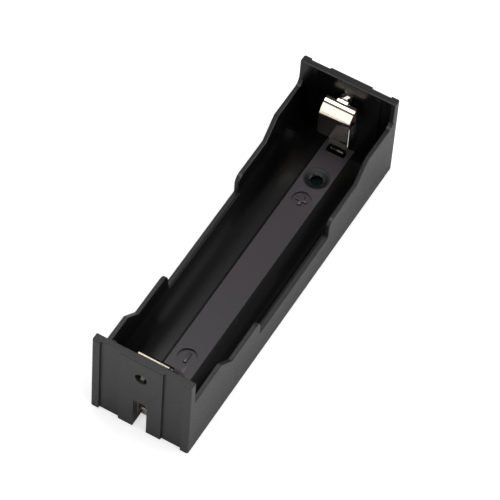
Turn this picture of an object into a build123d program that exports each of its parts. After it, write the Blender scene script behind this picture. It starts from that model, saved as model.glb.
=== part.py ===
"""Holder for one round 18650 lithium cell: a moulded ABS trough with a sprung contact at each end.

The trough lies along Y.  The positive end is at +Y and the origin is on the base, under the middle.
"""

import os
from math import hypot

from build123d import *

# The cell that the holder is made for.
cell_diameter = 18.6
cell_length = 65.0
cell_clearance = 0.1

# Housing walls.
side_wall = 0.95
floor = 1.8
end_wall = 1.3
end_pad = 0.45
contact_room = 4.45
cell_cover = 0.6

# Heights of the side walls, from the base, and where they change along Y.
cheek_height = 14.7
shoulder_height = 11.0
waist_height = 6.8
waist_half = 12.9
ramp_foot = 23.4
ramp_head = 27.5
waist_radius = 1.7
cheek_radius = 1.2

# Rounded lower corners of the trough, and the flat strip sunk between them.
cradle_radius = 7.0
cradle_rise = 0.35
strip_half = 3.3

# Pads on the outer face of each end wall: a centre panel and two corner strips.
panel_half = 4.5
corner_strip = 1.65

# Rib pair on the inner face of each end wall.
rib_offset = 6.9
rib_width = 0.9
rib_depth = 0.45
rib_drop = 0.5

# Countersunk screw holes in the floor.
screw_offset = 27.4
screw_radius = 1.3
screw_head_radius = 2.6
screw_head_angle = 120

# Wire notch in each end wall, and how far the opening in the floor behind it reaches.
notch_width = 2.9
notch_height = 8.5
notch_reach = 4.4

# Contact: one folded strip of nickel-plated spring steel.
strip_thickness = 0.35
contact_width = 6.5
contact_preload = 0.2
contact_top = 16.9
contact_gap = 1.3
back_radius = 0.5
brow_radius = 1.6
nose_slope = 1.95
nose_radius = 3.2
nose_bottom = 9.0
nose_corner_radius = 0.4
leg_width = 3.9
leg_shoulder = 12.8
shoulder_drop = 3.4
shoulder_radius = 1.2
leg_bottom = 0.3
leg_play = 0.1
eyelet_width = 2.7
eyelet_height = 1.1
eyelet_bottom = 1.7

# Tongue lanced out of the back of the contact, and the round hole that it stands in.
tongue_root_width = 2.2
tongue_tip_width = 0.8
tongue_neck_start = 0.6
tongue_neck_end = 1.3
tongue_flat = 0.15
tongue_crest = 0.85
tongue_rise = 0.18
tongue_fall = 1.45
tongue_radius = 0.8
tongue_play = 0.1
tongue_recess = 0.4
tongue_hole_drop = 0.7
tongue_hole_radius = 1.25

# Edge rounding of the moulding.
corner_radius = 0.4
rim_radius = 0.2

# Sizes that follow from the ones above.
bay_half = cell_diameter / 2 + cell_clearance
half_width = bay_half + side_wall
inner_half = cell_length / 2 + contact_room
half_length = inner_half + end_wall + end_pad
height = floor + cell_diameter + cell_cover
cradle_bottom = floor + cradle_rise
cradle_top = cradle_bottom + cradle_radius

nose_front = cell_length / 2 - contact_preload
back_outer = inner_half - contact_gap
tongue_root = back_outer - back_radius
tongue_end = half_length - tongue_recess
tongue_hole_z = contact_top - tongue_hole_drop
tongue_length = hypot(tongue_crest, tongue_rise) + hypot(
    tongue_end - tongue_root - tongue_crest, tongue_rise + tongue_fall
)

# How close two lengths must be to count as the same one when an edge is picked.
match = 0.01

os.makedirs("parts", exist_ok=True)

# ---------------------------------------------------------------------------
# Housing: one ABS moulding.  Its side view is cut out first, then the trough is
# hollowed along the cell, and the seats for the contacts and screws follow.
# ---------------------------------------------------------------------------
with BuildPart() as housing:
    # Side view: tall end walls, cheeks, shoulders and the low waist where fingers reach the cell.
    with BuildSketch(Plane.YZ) as side_view:
        with BuildLine():
            half_outline = Polyline(
                (0, 0),
                (half_length, 0),
                (half_length, height),
                (inner_half, height),
                (inner_half, cheek_height),
                (ramp_head, cheek_height),
                (ramp_foot, shoulder_height),
                (waist_half, shoulder_height),
                (waist_half, waist_height),
                (0, waist_height),
            )
            mirror(half_outline, about=Plane.YZ)
        make_face()
        waist_tops = side_view.vertices().filter_by(
            lambda v: abs(abs(v.X) - waist_half) < match and abs(v.Y - shoulder_height) < match
        )
        fillet(waist_tops, waist_radius)
    extrude(amount=half_width, both=True)

    # Rounded upright corners, then a rounded rim along the top of every wall.
    upright_edges = housing.edges().filter_by(Axis.Z).filter_by(
        lambda e: abs(abs(e.center().Y) - half_length) < match
    )
    fillet(upright_edges, corner_radius)
    outer_rim = housing.faces().filter_by(Axis.X).edges().filter_by(
        lambda e: e.center().Z > match and abs(e.center().Y) < half_length - corner_radius - match
    )
    end_rim = housing.edges().filter_by(lambda e: abs(e.center().Z - height) < match)
    fillet(list(set(outer_rim + end_rim)), rim_radius)

    # Trough: upright walls on rounded lower corners.
    with BuildSketch(Plane.XZ) as trough:
        with Locations((0, cradle_bottom)):
            Rectangle(2 * bay_half, height, align=(Align.CENTER, Align.MIN))
        fillet(trough.vertices().group_by(Axis.Y)[0], cradle_radius)
    extrude(amount=inner_half, both=True, mode=Mode.SUBTRACT)

    # Rounded rim on the inside of the side walls.
    inner_rim = housing.edges().filter_by(
        lambda e: abs(e.center().Y) < inner_half - match
        and abs(e.center().X) > bay_half - side_wall
        and abs(e.center().X) < bay_half + match
        and e.center().Z > waist_height - match
        and abs(e.center().Z - cradle_top) > match
    )
    fillet(inner_rim, rim_radius)

    # Small curves that lead each cheek up into its end wall.
    for side in (-1, 1):
        with BuildSketch(Plane.YZ.offset(side * (bay_half + side_wall / 2))):
            with BuildLine():
                half_curve = Polyline(
                    (inner_half - cheek_radius, cheek_height),
                    (inner_half - cheek_radius, cheek_height - rim_radius),
                    (inner_half, cheek_height - rim_radius),
                    (inner_half, cheek_height + cheek_radius),
                )
                half_arc = RadiusArc(half_curve @ 1, half_curve @ 0, cheek_radius)
                mirror([half_curve, half_arc], about=Plane.YZ)
            make_face()
        extrude(amount=side_wall / 2, both=True)

    # Flat strip, a little below the cradle where the two meet.
    with Locations((0, 0, floor)):
        Box(
            2 * strip_half,
            2 * inner_half,
            cradle_radius,
            align=(Align.CENTER, Align.CENTER, Align.MIN),
            mode=Mode.SUBTRACT,
        )

    for end in (-1, 1):
        # Two full-height recesses leave the centre panel and the corner strips proud.
        recess_width = half_width - corner_strip - panel_half
        with Locations(
            (-(panel_half + recess_width / 2), end * half_length, 0),
            (panel_half + recess_width / 2, end * half_length, 0),
        ):
            Box(
                recess_width,
                2 * end_pad,
                height,
                align=(Align.CENTER, Align.CENTER, Align.MIN),
                mode=Mode.SUBTRACT,
            )

        # Rib pair on the inner face.
        with Locations(
            (-rib_offset, end * (inner_half - rib_depth / 2), floor),
            (rib_offset, end * (inner_half - rib_depth / 2), floor),
        ):
            Box(
                rib_width,
                rib_depth,
                height - rib_drop - floor,
                align=(Align.CENTER, Align.CENTER, Align.MIN),
            )

        # Wire notch through the end wall, open at the base.
        with Locations((0, end * half_length, 0)):
            Box(
                notch_width,
                2 * (end_wall + end_pad),
                notch_height,
                align=(Align.CENTER, Align.CENTER, Align.MIN),
                mode=Mode.SUBTRACT,
            )

        # Opening through the floor for the leg of the contact, which stands against its rear face.
        opening_length = notch_reach - (half_length - back_outer)
        with Locations((0, end * (back_outer - opening_length / 2), 0)):
            Box(
                leg_width + 2 * leg_play,
                opening_length,
                floor,
                align=(Align.CENTER, Align.CENTER, Align.MIN),
                mode=Mode.SUBTRACT,
            )

        # Slot in the floor that joins the notch to the opening.
        with Locations((0, end * half_length, 0)):
            Box(
                notch_width,
                2 * (half_length - back_outer),
                floor,
                align=(Align.CENTER, Align.CENTER, Align.MIN),
                mode=Mode.SUBTRACT,
            )

        # Round hole that the tongue of the contact reaches into.
        with Locations(Plane((0, end * half_length, tongue_hole_z), z_dir=(0, end, 0))):
            Hole(tongue_hole_radius, depth=end_wall + end_pad)

    # Screw holes, countersunk from inside.
    with Locations((0, -screw_offset, floor), (0, screw_offset, floor)):
        CounterSinkHole(screw_radius, screw_head_radius, counter_sink_angle=screw_head_angle)
housing.part.label = "housing"
export_step(housing.part, "parts/housing.step")

# ---------------------------------------------------------------------------
# Contacts: a strip folded over at the top.  The back stands upright in front of the
# end wall, and the nose slopes down before it and bears on the cell.
# ---------------------------------------------------------------------------
with BuildPart() as tongue:
    # Side view: on from the flat top of the contact, up a little, then down into the hole.
    with BuildSketch(Plane.YZ):
        with BuildLine():
            FilletPolyline(
                (tongue_root - tongue_flat, contact_top),
                (tongue_root, contact_top),
                (tongue_root + tongue_crest, contact_top + tongue_rise),
                (tongue_end, contact_top - tongue_fall),
                radius=tongue_radius,
            )
            offset(amount=strip_thickness, side=Side.RIGHT, closed=True)
        make_face()
    extrude(amount=tongue_root_width / 2, both=True)

    # Seen from above, it narrows to a slim tip.
    with BuildSketch(Plane.XY):
        with BuildLine():
            half_taper = Polyline(
                (0, tongue_root - tongue_flat),
                (tongue_root_width / 2, tongue_root - tongue_flat),
                (tongue_root_width / 2, tongue_root + tongue_neck_start),
                (tongue_tip_width / 2, tongue_root + tongue_neck_end),
                (tongue_tip_width / 2, tongue_end),
                (0, tongue_end),
            )
            mirror(half_taper, about=Plane.YZ)
        make_face()
    extrude(amount=height, mode=Mode.INTERSECT)

with BuildPart() as positive_contact:
    # Nose, top and the wide part of the back, drawn from the side along the outer face of the strip.
    with BuildSketch(Plane.YZ):
        with BuildLine():
            FilletPolyline(
                (nose_front, nose_bottom),
                (nose_front, contact_top - nose_slope),
                (nose_front + nose_slope, contact_top),
                (back_outer, contact_top),
                (back_outer, leg_shoulder),
                radius=[nose_radius, brow_radius, back_radius],
            )
            offset(amount=strip_thickness, side=Side.RIGHT, closed=True)
        make_face()
    extrude(amount=contact_width / 2, both=True)

    # Rounded corners at the free end of the nose.
    nose_corners = positive_contact.edges().filter_by(Axis.Y).filter_by(
        lambda e: abs(e.center().Z - nose_bottom) < match
    )
    fillet(nose_corners, nose_corner_radius)

    # Leg, drawn face on: the back narrows below its shoulders, down to an eyelet for the wire.
    with BuildSketch(Plane.XZ.offset(-back_outer)) as leg:
        with BuildLine():
            half_leg = Polyline(
                (0, leg_shoulder),
                (contact_width / 2, leg_shoulder),
                (leg_width / 2, leg_shoulder - shoulder_drop),
                (leg_width / 2, leg_bottom),
                (0, leg_bottom),
            )
            mirror(half_leg, about=Plane.YZ)
        make_face()
        shoulder_ends = leg.vertices().filter_by(
            lambda v: abs(v.Y - (leg_shoulder - shoulder_drop)) < match
        )
        fillet(shoulder_ends, shoulder_radius)
        with Locations((0, eyelet_bottom + eyelet_height / 2)):
            Rectangle(eyelet_width, eyelet_height, mode=Mode.SUBTRACT)
    extrude(amount=strip_thickness)

    # Window that the tongue leaves in the back, drawn face on with a little play all round.
    with BuildSketch(Plane.XZ.offset(-back_outer)):
        with BuildLine():
            half_window = Polyline(
                (0, contact_top),
                (tongue_root_width / 2 + tongue_play, contact_top),
                (tongue_root_width / 2 + tongue_play, contact_top - tongue_neck_start),
                (tongue_tip_width / 2 + tongue_play, contact_top - tongue_neck_end),
                (tongue_tip_width / 2 + tongue_play, contact_top - tongue_length),
                (0, contact_top - tongue_length),
            )
            mirror(half_window, about=Plane.YZ)
        make_face()
    extrude(amount=back_radius, mode=Mode.SUBTRACT)
    add(tongue.part)
positive_contact.part.label = "positive_contact"
export_step(positive_contact.part, "parts/positive_contact.step")

with BuildPart() as negative_contact:
    mirror(positive_contact.part, about=Plane.XZ)
negative_contact.part.label = "negative_contact"
export_step(negative_contact.part, "parts/negative_contact.step")
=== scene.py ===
import math

import bpy
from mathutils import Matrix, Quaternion, Vector


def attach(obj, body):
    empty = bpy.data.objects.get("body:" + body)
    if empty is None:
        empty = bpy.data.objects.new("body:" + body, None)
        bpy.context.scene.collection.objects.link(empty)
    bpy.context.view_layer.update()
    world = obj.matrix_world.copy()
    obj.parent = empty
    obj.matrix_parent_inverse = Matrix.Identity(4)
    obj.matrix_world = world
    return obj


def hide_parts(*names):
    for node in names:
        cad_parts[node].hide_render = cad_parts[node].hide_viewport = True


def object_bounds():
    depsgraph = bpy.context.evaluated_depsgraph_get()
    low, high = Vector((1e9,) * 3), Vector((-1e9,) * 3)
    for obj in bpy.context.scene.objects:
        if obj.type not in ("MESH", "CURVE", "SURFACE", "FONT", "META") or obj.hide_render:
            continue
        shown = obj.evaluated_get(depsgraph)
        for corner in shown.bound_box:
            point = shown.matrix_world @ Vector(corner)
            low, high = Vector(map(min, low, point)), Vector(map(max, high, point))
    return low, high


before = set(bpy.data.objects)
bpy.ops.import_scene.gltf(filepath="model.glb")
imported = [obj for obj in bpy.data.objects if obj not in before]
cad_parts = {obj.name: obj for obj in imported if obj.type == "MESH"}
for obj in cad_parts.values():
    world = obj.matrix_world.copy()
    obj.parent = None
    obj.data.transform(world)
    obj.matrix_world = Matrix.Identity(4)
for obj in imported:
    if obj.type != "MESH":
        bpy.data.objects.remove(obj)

cad_box = [list(corner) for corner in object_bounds()]

# ---------------------------------------------------------------------------
# The housing: one black ABS moulding, straight from the tool.  The inside of the trough
# comes off a polished core, the outside off a lightly blasted cavity, and the flat strip
# along the floor, with a sunk disc for each polarity sign, off an insert of its own.
# ---------------------------------------------------------------------------
MM = 0.001

# The trough between its side walls and its end walls, and the strip along its floor.
BAY_HALF = 9.4 * MM
INNER_HALF = 36.95 * MM
STRIP_HALF = 3.3 * MM
FLOOR = 1.8 * MM

# The two countersunk screw holes in the strip, and the two sunk discs.
SCREW_OFFSET = 27.4 * MM
SCREW_HEAD = 2.6 * MM
DISC_OFFSET = 21.4 * MM
DISC_RADIUS = 1.95 * MM
DISC_DEPTH = 0.45 * MM
DISC_SIDES = 72

# A finish reaches this far past the faces that bound it.
SKIN = 0.05 * MM

# A painted shade line runs along each edge of the strip, at its step: the polished black reaches
# this far onto the strip.
EDGE_SHADE_LINE = 0.25 * MM

SATIN_BLACK = "#1c1a1b"
POLISHED_BLACK = "#080808"
STRIP_GREY = "#423d42"
ABS_IOR = 1.53
SATIN_ROUGHNESS = (0.36, 0.46)
POLISHED_ROUGHNESS = 0.25
STRIP_ROUGHNESS = 0.3
SCREW_HOLE_ROUGHNESS = 0.55

# Blasting leaves a grain of about 0.1 mm.  It is drawn coarser, so that it shows at arm's length.
GRAIN_SIZE = 0.5 * MM
GRAIN_DEPTH = 0.03 * MM
GRAIN_STRENGTH = 0.12

# The middle part of a noise pattern's values, where nearly all of them lie.
NOISE_RANGE = {"From Min": 0.3, "From Max": 0.7}

# Input and output numbers of Blender's Mix node, whose sockets share their names.
FACTOR, NUMBER_A, NUMBER_B, COLOUR_A, COLOUR_B = 0, 2, 3, 6, 7
MIXED_NUMBER, MIXED_COLOUR = 0, 2

# Loose triangles are joined where their corners are this close and their planes this alike.
JOIN_DISTANCE = 0.0005 * MM
FLAT_ANGLE = math.radians(0.3)
CREASE_ANGLE = math.radians(38)


def colour(hex_value):
    """An sRGB hex colour as linear red, green, blue and alpha."""
    channels = [int(hex_value[i:i + 2], 16) / 255 for i in (1, 3, 5)]
    linear = [c / 12.92 if c <= 0.04045 else ((c + 0.055) / 1.055) ** 2.4 for c in channels]
    return (*linear, 1.0)


def empty_material(name):
    """A material with no nodes yet."""
    material = bpy.data.materials.new(name)
    material.use_nodes = True
    material.node_tree.nodes.clear()
    return material


def node(material, kind, inputs, **settings):
    """Adds a shader node.  An input is given a value, or the socket that it is linked to."""
    made = material.node_tree.nodes.new(kind)
    for name, value in settings.items():
        setattr(made, name, value)
    for name, value in inputs.items():
        if isinstance(value, bpy.types.NodeSocket):
            material.node_tree.links.new(value, made.inputs[name])
        else:
            made.inputs[name].default_value = value
    return made


def narrowed(material, mask, value, test, limit):
    """A mask, 1 for the whole surface, cut down to where a value passes a test against a limit."""
    passed = node(material, "ShaderNodeMath", {0: value, 1: limit}, operation=test)
    return node(
        material, "ShaderNodeMath", {0: mask, 1: passed.outputs[0]}, operation="MULTIPLY"
    ).outputs[0]


def select_only(piece):
    """Makes a piece the one that operators act on."""
    bpy.ops.object.select_all(action="DESELECT")
    bpy.context.view_layer.objects.active = piece
    piece.select_set(True)


def apply_modifier(piece, kind, **settings):
    """Adds a modifier to the active piece and applies it."""
    bpy.ops.object.modifier_add(type=kind)
    modifier = piece.modifiers[-1]
    for name, value in settings.items():
        setattr(modifier, name, value)
    bpy.ops.object.modifier_apply(modifier=modifier.name)


def merged_copy(name, node_name):
    """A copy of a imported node, shown in its place, with its loose triangles joined."""
    piece = bpy.data.objects.new(name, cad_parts[node_name].data.copy())
    bpy.context.scene.collection.objects.link(piece)
    select_only(piece)
    bpy.ops.object.mode_set(mode="EDIT")
    bpy.ops.mesh.select_all(action="SELECT")
    bpy.ops.mesh.remove_doubles(threshold=JOIN_DISTANCE)
    bpy.ops.mesh.dissolve_limited(angle_limit=FLAT_ANGLE)
    bpy.ops.object.mode_set(mode="OBJECT")
    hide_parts(node_name)
    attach(piece, "root")
    return piece


def smooth_curves(piece):
    """Shades the fine facets of curved faces smooth, and keeps flat faces flat to their creases."""
    select_only(piece)
    bpy.ops.object.shade_smooth()
    bpy.ops.object.mode_set(mode="EDIT")
    bpy.ops.mesh.select_mode(type="EDGE")
    bpy.ops.mesh.select_all(action="DESELECT")
    bpy.ops.mesh.edges_select_sharp(sharpness=CREASE_ANGLE)
    bpy.ops.mesh.mark_sharp()
    bpy.ops.mesh.select_mode(type="VERT")
    bpy.ops.object.mode_set(mode="OBJECT")
    apply_modifier(piece, "WEIGHTED_NORMAL", keep_sharp=True)


def moulded_black_abs():
    """Moulded black ABS: a satin grey-black where the tool is blasted, a glossy deep black where it
    is polished, and a greyer half gloss on the strip. The deep black is also painted shade, in a
    thin line along each edge of the strip and in the screw holes."""
    material = empty_material("moulded_black_abs")
    place = node(material, "ShaderNodeTexCoord", {}).outputs["Object"]
    xyz = node(material, "ShaderNodeSeparateXYZ", {0: place})
    across, along = (
        node(material, "ShaderNodeMath", {0: xyz.outputs[axis]}, operation="ABSOLUTE").outputs[0]
        for axis in ("X", "Y")
    )
    up = xyz.outputs["Z"]

    # The inside of the trough, from under the level of the strip upwards.
    inside = narrowed(material, 1.0, across, "LESS_THAN", BAY_HALF + SKIN)
    inside = narrowed(material, inside, along, "LESS_THAN", INNER_HALF + SKIN)
    inside = narrowed(material, inside, up, "GREATER_THAN", FLOOR / 2)

    # The strip up to its painted shade lines along the edges, with the signs and the screw holes.
    # The rest, those lines too, is polished.
    strip = narrowed(material, inside, up, "LESS_THAN", FLOOR + SKIN)
    strip = narrowed(material, strip, across, "LESS_THAN", STRIP_HALF - EDGE_SHADE_LINE)
    polished = node(
        material, "ShaderNodeMath", {0: inside, 1: strip}, operation="SUBTRACT"
    ).outputs[0]

    # The screw holes, which are matt, and painted as black as the polished faces: painted shade in
    # the countersinks.
    level = node(material, "ShaderNodeCombineXYZ", {0: across, 1: along}).outputs[0]
    from_screw = node(
        material, "ShaderNodeVectorMath", {0: level, 1: (0, SCREW_OFFSET, 0)}, operation="DISTANCE"
    ).outputs["Value"]
    screw_holes = narrowed(material, strip, from_screw, "LESS_THAN", SCREW_HEAD + SKIN)
    strip = node(
        material, "ShaderNodeMath", {0: strip, 1: screw_holes}, operation="SUBTRACT"
    ).outputs[0]

    grain = node(
        material, "ShaderNodeTexNoise",
        {"Vector": place, "Scale": 1 / GRAIN_SIZE, "Detail": 3.0, "Roughness": 0.6},
    ).outputs["Fac"]
    rough = node(
        material, "ShaderNodeMapRange",
        {
            "Value": grain, **NOISE_RANGE,
            "To Min": SATIN_ROUGHNESS[0], "To Max": SATIN_ROUGHNESS[1],
        },
    ).outputs[0]
    for mask, roughness in (
        (screw_holes, SCREW_HOLE_ROUGHNESS),
        (strip, STRIP_ROUGHNESS),
        (polished, POLISHED_ROUGHNESS),
    ):
        rough = node(
            material, "ShaderNodeMix", {FACTOR: mask, NUMBER_A: rough, NUMBER_B: roughness}
        ).outputs[MIXED_NUMBER]
    tone = colour(SATIN_BLACK)
    for mask, hex_value in ((inside, POLISHED_BLACK), (strip, STRIP_GREY)):
        tone = node(
            material, "ShaderNodeMix",
            {FACTOR: mask, COLOUR_A: tone, COLOUR_B: colour(hex_value)}, data_type="RGBA",
        ).outputs[MIXED_COLOUR]
    bump = node(
        material, "ShaderNodeBump",
        {"Strength": GRAIN_STRENGTH, "Distance": GRAIN_DEPTH, "Height": grain},
    ).outputs[0]
    plastic = node(
        material, "ShaderNodeBsdfPrincipled",
        {"Base Color": tone, "IOR": ABS_IOR, "Roughness": rough, "Normal": bump},
    )
    node(material, "ShaderNodeOutputMaterial", {0: plastic.outputs[0]})
    return material


black_abs = moulded_black_abs()
housing = merged_copy("moulded_housing", "housing")

for end in (-1, 1):
    bpy.ops.object.select_all(action="DESELECT")
    bpy.ops.mesh.primitive_cylinder_add(
        vertices=DISC_SIDES, radius=DISC_RADIUS, depth=2 * DISC_DEPTH,
        location=(0, end * DISC_OFFSET, FLOOR),
    )
    disc = bpy.context.object
    bpy.ops.object.transform_apply(location=True, rotation=True, scale=True)
    select_only(housing)
    apply_modifier(housing, "BOOLEAN", operation="DIFFERENCE", solver="EXACT", object=disc)
    bpy.data.objects.remove(disc)

smooth_curves(housing)
housing.data.materials.clear()
housing.data.materials.append(black_abs)

# ---------------------------------------------------------------------------
# The polarity signs: a plus and a minus of black ABS, moulded with the housing.  Their
# bars stand up out of the sunk discs to the level of the strip.
# ---------------------------------------------------------------------------
BAR_LENGTH = 2.4 * MM
BAR_WIDTH = 0.6 * MM
SIGN_EDGE = 0.06 * MM

# A face looks one way when the cosine between its normal and that way is above this.
SAME_WAY = 0.99


def stretch_arm(centre, direction, distance):
    """Extrudes the end face of one arm of the sign in edit mode, away from the sign's centre."""
    bpy.ops.mesh.select_all(action="DESELECT")
    bpy.ops.object.mode_set(mode="OBJECT")
    for polygon in bpy.context.object.data.polygons:
        aside = (polygon.center - centre).cross(direction).length
        polygon.select = polygon.normal.dot(direction) > SAME_WAY and aside < BAR_WIDTH / 4
    bpy.ops.object.mode_set(mode="EDIT")
    bpy.ops.mesh.extrude_region_move(TRANSFORM_OT_translate={"value": direction * distance})


def add_sign(name, y, arms):
    """A sign of one or two crossed bars, grown from a small block by its arms."""
    bpy.ops.object.select_all(action="DESELECT")
    centre = Vector((0, y, FLOOR - DISC_DEPTH / 2))
    bpy.ops.mesh.primitive_cube_add(size=1, location=centre)
    sign = bpy.context.object
    sign.name = name
    sign.scale = (BAR_WIDTH, BAR_WIDTH, DISC_DEPTH)
    bpy.ops.object.transform_apply(location=True, rotation=True, scale=True)
    bpy.ops.object.mode_set(mode="EDIT")
    for arm in arms:
        stretch_arm(centre, Vector(arm), (BAR_LENGTH - BAR_WIDTH) / 2)
    bpy.ops.object.mode_set(mode="OBJECT")
    apply_modifier(sign, "BEVEL", width=SIGN_EDGE, segments=2)
    smooth_curves(sign)
    sign.data.materials.append(black_abs)
    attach(sign, "root")


add_sign("minus_sign", -DISC_OFFSET, [(0, 1, 0), (0, -1, 0)])
add_sign("plus_sign", DISC_OFFSET, [(0, 1, 0), (0, -1, 0), (1, 0, 0), (-1, 0, 0)])

# ---------------------------------------------------------------------------
# The contacts: strip of spring steel, punched, folded and then nickel-plated.
# Each one stands in front of an end wall, with its tongue in the wall's round hole.
# ---------------------------------------------------------------------------
NICKEL = "#ebe0d1"
NICKEL_ROUGHNESS = (0.07, 0.12)

# The plate clouds in patches a little under a millimetre across.
HAZE_SIZE = 0.8 * MM


def bright_nickel_plate():
    """Bright nickel plate over rolled steel strip: a warm mirror with a faint cloudy haze."""
    material = empty_material("bright_nickel_plate")
    place = node(material, "ShaderNodeTexCoord", {}).outputs["Object"]
    haze = node(
        material, "ShaderNodeTexNoise", {"Vector": place, "Scale": 1 / HAZE_SIZE, "Detail": 2.0}
    ).outputs["Fac"]
    rough = node(
        material, "ShaderNodeMapRange",
        {
            "Value": haze, **NOISE_RANGE,
            "To Min": NICKEL_ROUGHNESS[0], "To Max": NICKEL_ROUGHNESS[1],
        },
    ).outputs[0]
    metal = node(
        material, "ShaderNodeBsdfPrincipled",
        {"Base Color": colour(NICKEL), "Metallic": 1.0, "Roughness": rough},
    )
    node(material, "ShaderNodeOutputMaterial", {0: metal.outputs[0]})
    return material


nickel = bright_nickel_plate()
for name, node_name in (
    ("positive_spring_contact", "positive_contact"),
    ("negative_spring_contact", "negative_contact"),
):
    contact = merged_copy(name, node_name)
    smooth_curves(contact)
    contact.data.materials.clear()
    contact.data.materials.append(nickel)

# ---------------------------------------------------------------------------
# The table top: a white paper sheet that keeps the holder's soft shadow.
# ---------------------------------------------------------------------------
PAPER = "#d6d6d6"
PAPER_SIZE = 6.0
PAPER_LIFT = 0.6

# Under the holder no lamp reaches the paper, and its colour there is painted shade.
SHADED_PAPER = "#10191b"
SHADE_RIM = 0.5 * MM

# The lift in the paper's mirror images is faded out next to the holder as painted shade, and
# returns over this distance to the paper that the holder's faces mirror.
PAPER_FADE = 60 * MM

# The sheet lies just under the holder, so that no two faces share a plane.
PAPER_GAP = 0.05 * MM

# In the wire notch at the negative end the paper is as white as outside.
NOTCH_DEPTH = 5 * MM

HALF_WIDTH, HALF_LENGTH = cad_box[1][:2]


def white_paper():
    """Matt white paper, lifted to white where it is seen, and in the mirror images of it that lie
    away from the holder. Under the holder its colour is painted shade, and the lift in its mirror
    images fades out next to the holder as painted shade."""
    material = empty_material("white_paper")
    paths = node(material, "ShaderNodeLightPath", {}).outputs
    place = node(material, "ShaderNodeTexCoord", {}).outputs["Object"]
    xyz = node(material, "ShaderNodeSeparateXYZ", {0: place})

    # How far the paper lies outside the holder's outline, less the notch.
    across = node(
        material, "ShaderNodeMath", {0: xyz.outputs["X"]}, operation="ABSOLUTE"
    ).outputs[0]
    along = node(
        material, "ShaderNodeMath", {0: xyz.outputs["Y"], 1: NOTCH_DEPTH / 2}, operation="SUBTRACT"
    ).outputs[0]
    along = node(material, "ShaderNodeMath", {0: along}, operation="ABSOLUTE").outputs[0]
    beside = node(
        material, "ShaderNodeMath", {0: across, 1: HALF_WIDTH}, operation="SUBTRACT"
    ).outputs[0]
    beyond = node(
        material, "ShaderNodeMath",
        {0: along, 1: HALF_LENGTH - NOTCH_DEPTH / 2}, operation="SUBTRACT",
    ).outputs[0]
    apart = node(
        material, "ShaderNodeMath", {0: beside, 1: beyond}, operation="MAXIMUM"
    ).outputs[0]
    clear = node(
        material, "ShaderNodeMapRange", {"Value": apart, "From Max": PAPER_FADE}
    ).outputs[0]
    outside = node(
        material, "ShaderNodeMapRange", {"Value": apart, "From Min": -SHADE_RIM, "From Max": 0.0}
    ).outputs[0]

    mirrored = node(
        material, "ShaderNodeMath",
        {0: paths["Is Glossy Ray"], 1: paths["Is Transmission Ray"]}, operation="MAXIMUM",
    ).outputs[0]
    # Painted shade: next to the holder the lift that its faces mirror fades out.
    mirrored = node(
        material, "ShaderNodeMath", {0: mirrored, 1: clear}, operation="MULTIPLY"
    ).outputs[0]
    seen = node(
        material, "ShaderNodeMath", {0: paths["Is Camera Ray"], 1: outside}, operation="MULTIPLY"
    ).outputs[0]
    lifted = node(
        material, "ShaderNodeMath", {0: seen, 1: mirrored}, operation="MAXIMUM"
    ).outputs[0]
    lift = node(
        material, "ShaderNodeMath", {0: lifted, 1: PAPER_LIFT}, operation="MULTIPLY"
    ).outputs[0]
    glow = node(material, "ShaderNodeEmission", {"Color": colour("#ffffff"), "Strength": lift})
    # Painted shade: the paper's colour turns dark teal under the holder's outline.
    tone = node(
        material, "ShaderNodeMix",
        {FACTOR: outside, COLOUR_A: colour(SHADED_PAPER), COLOUR_B: colour(PAPER)},
        data_type="RGBA",
    ).outputs[MIXED_COLOUR]
    sheet = node(material, "ShaderNodeBsdfDiffuse", {"Color": tone})
    both = node(material, "ShaderNodeAddShader", {0: glow.outputs[0], 1: sheet.outputs[0]})
    node(material, "ShaderNodeOutputMaterial", {0: both.outputs[0]})
    return material


bpy.ops.object.select_all(action="DESELECT")
bpy.ops.mesh.primitive_plane_add(size=PAPER_SIZE, location=(0, 0, -PAPER_GAP))
table = bpy.context.object
table.name = "table_top"
table.data.materials.append(white_paper())

# ---------------------------------------------------------------------------
# Light: a softbox close overhead, a tall one in front, a low one on the right and a
# low one behind, in a dim studio.
# ---------------------------------------------------------------------------
STUDIO_LIGHT = 0.12

world = bpy.data.worlds.new("studio")
bpy.context.scene.world = world
world.use_nodes = True
background = world.node_tree.nodes["Background"]
background.inputs["Color"].default_value = colour("#ffffff")
background.inputs["Strength"].default_value = STUDIO_LIGHT


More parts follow.
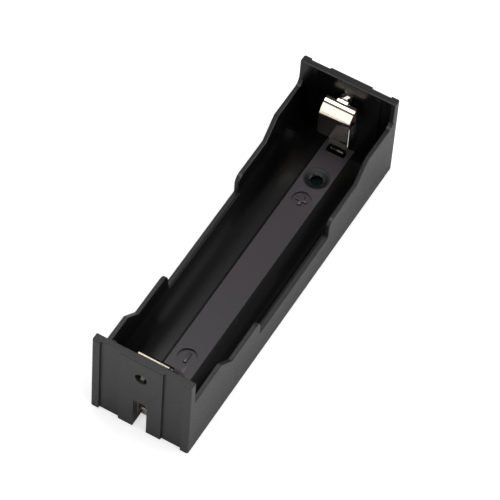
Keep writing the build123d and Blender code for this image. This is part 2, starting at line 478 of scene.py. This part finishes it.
def direction_to(azimuth, elevation):
    """The way out from the holder at two angles.  The azimuth is 0 in front, 90 on the right."""
    azimuth, elevation = math.radians(azimuth), math.radians(elevation)
    return Vector((
        math.sin(azimuth) * math.cos(elevation),
        -math.cos(azimuth) * math.cos(elevation),
        math.sin(elevation),
    ))


def add_softbox(name, azimuth, elevation, distance, width, height, brightness):
    """A softbox that faces the holder.  Its distance and size are in metres, and a brightness of 1
    looks just white."""
    away = direction_to(azimuth, elevation)
    bpy.ops.object.light_add(type="AREA", location=away * distance)
    lamp = bpy.context.object
    lamp.name = name
    lamp.rotation_mode = "QUATERNION"
    lamp.rotation_quaternion = away.to_track_quat("Z", "Y")
    lamp.data.shape = "RECTANGLE"
    lamp.data.size = width
    lamp.data.size_y = height
    lamp.data.energy = brightness * math.pi * width * height


add_softbox(
    "top_softbox", azimuth=180, elevation=87, distance=0.42, width=0.5, height=0.3, brightness=3.0
)
add_softbox(
    "front_softbox", azimuth=-18, elevation=22, distance=1.0, width=0.4, height=0.7, brightness=1.3
)
add_softbox(
    "right_softbox", azimuth=85, elevation=12, distance=1.0, width=0.9, height=0.35, brightness=8.2
)
add_softbox(
    "rear_softbox", azimuth=206, elevation=12, distance=1.0, width=0.35, height=0.2, brightness=2.0
)

# ---------------------------------------------------------------------------
# Camera: a long lens, looking down along the trough from its negative end.
# ---------------------------------------------------------------------------
CAMERA_AZIMUTH = 26.264
CAMERA_ELEVATION = 53.988
CAMERA_ROLL = 4.682
CAMERA_DISTANCE = 0.6485
CAMERA_AIM = Vector((0.263, 0.512, 10.0)) * MM
CAMERA_LENS = 250.6
CAMERA_RANGE = (0.01, 10.0)

back = direction_to(CAMERA_AZIMUTH, CAMERA_ELEVATION)
roll = Quaternion((0, 0, 1), math.radians(CAMERA_ROLL))
bpy.ops.object.camera_add(location=CAMERA_AIM + back * CAMERA_DISTANCE)
camera = bpy.context.object
camera.name = "camera"
camera.rotation_mode = "QUATERNION"
camera.rotation_quaternion = back.to_track_quat("Z", "Y") @ roll
camera.data.lens = CAMERA_LENS
camera.data.clip_start, camera.data.clip_end = CAMERA_RANGE
bpy.context.scene.camera = camera
bpy.context.scene.view_settings.view_transform = "Standard"
